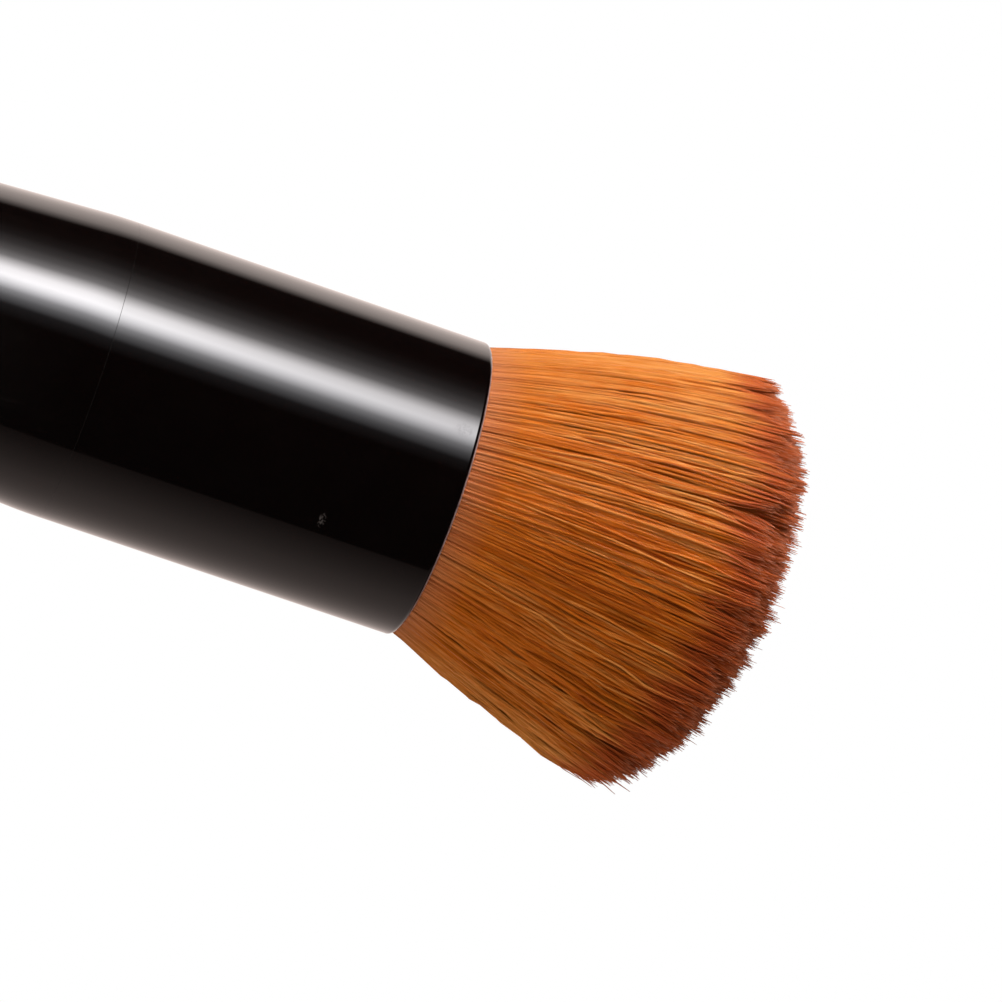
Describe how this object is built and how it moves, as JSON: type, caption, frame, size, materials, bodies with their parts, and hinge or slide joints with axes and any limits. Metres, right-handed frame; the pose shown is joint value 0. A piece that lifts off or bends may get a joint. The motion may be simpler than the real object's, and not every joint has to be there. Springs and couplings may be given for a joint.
{
  "type": "makeup brush",
  "caption": "Short, stout makeup brush with a domed head of soft filaments in a gloss black ferrule, on a waisted black handle that stands on its flat foot",
  "frame": {"origin": "centre of the flat foot of the handle, on the brush's axis", "axes": "+Z runs along the brush from the foot to the bristle tips, +X is the side towards which the head leans, +Y completes the right-handed frame"},
  "size_m": [0.0311, 0.0326, 0.0996],
  "materials": {
    "ferrule_lacquer": "high gloss black lacquer on a drawn aluminium tube",
    "handle_lacquer": "high gloss black",
    "base_cap_black": "satin black moulding",
    "ballast_steel": "turned steel",
    "pad_foam": "matt foam",
    "cured_glue": "clear amber glue",
    "binding_thread": "bound thread",
    "filament": "golden brown synthetic filament with reddish brown tips"
  },
  "bodies": {
    "root": {"ferrule": "ferrule_lacquer", "handle": "handle_lacquer", "base_cap": "base_cap_black", "ballast": "ballast_steel", "ballast_pad": "pad_foam", "root_plug": "cured_glue", "root_binding": "binding_thread", "bristle_core": "filament", "bristle_middle": "filament", "bristle_outer": "filament"}
  },
  "joints": []
}
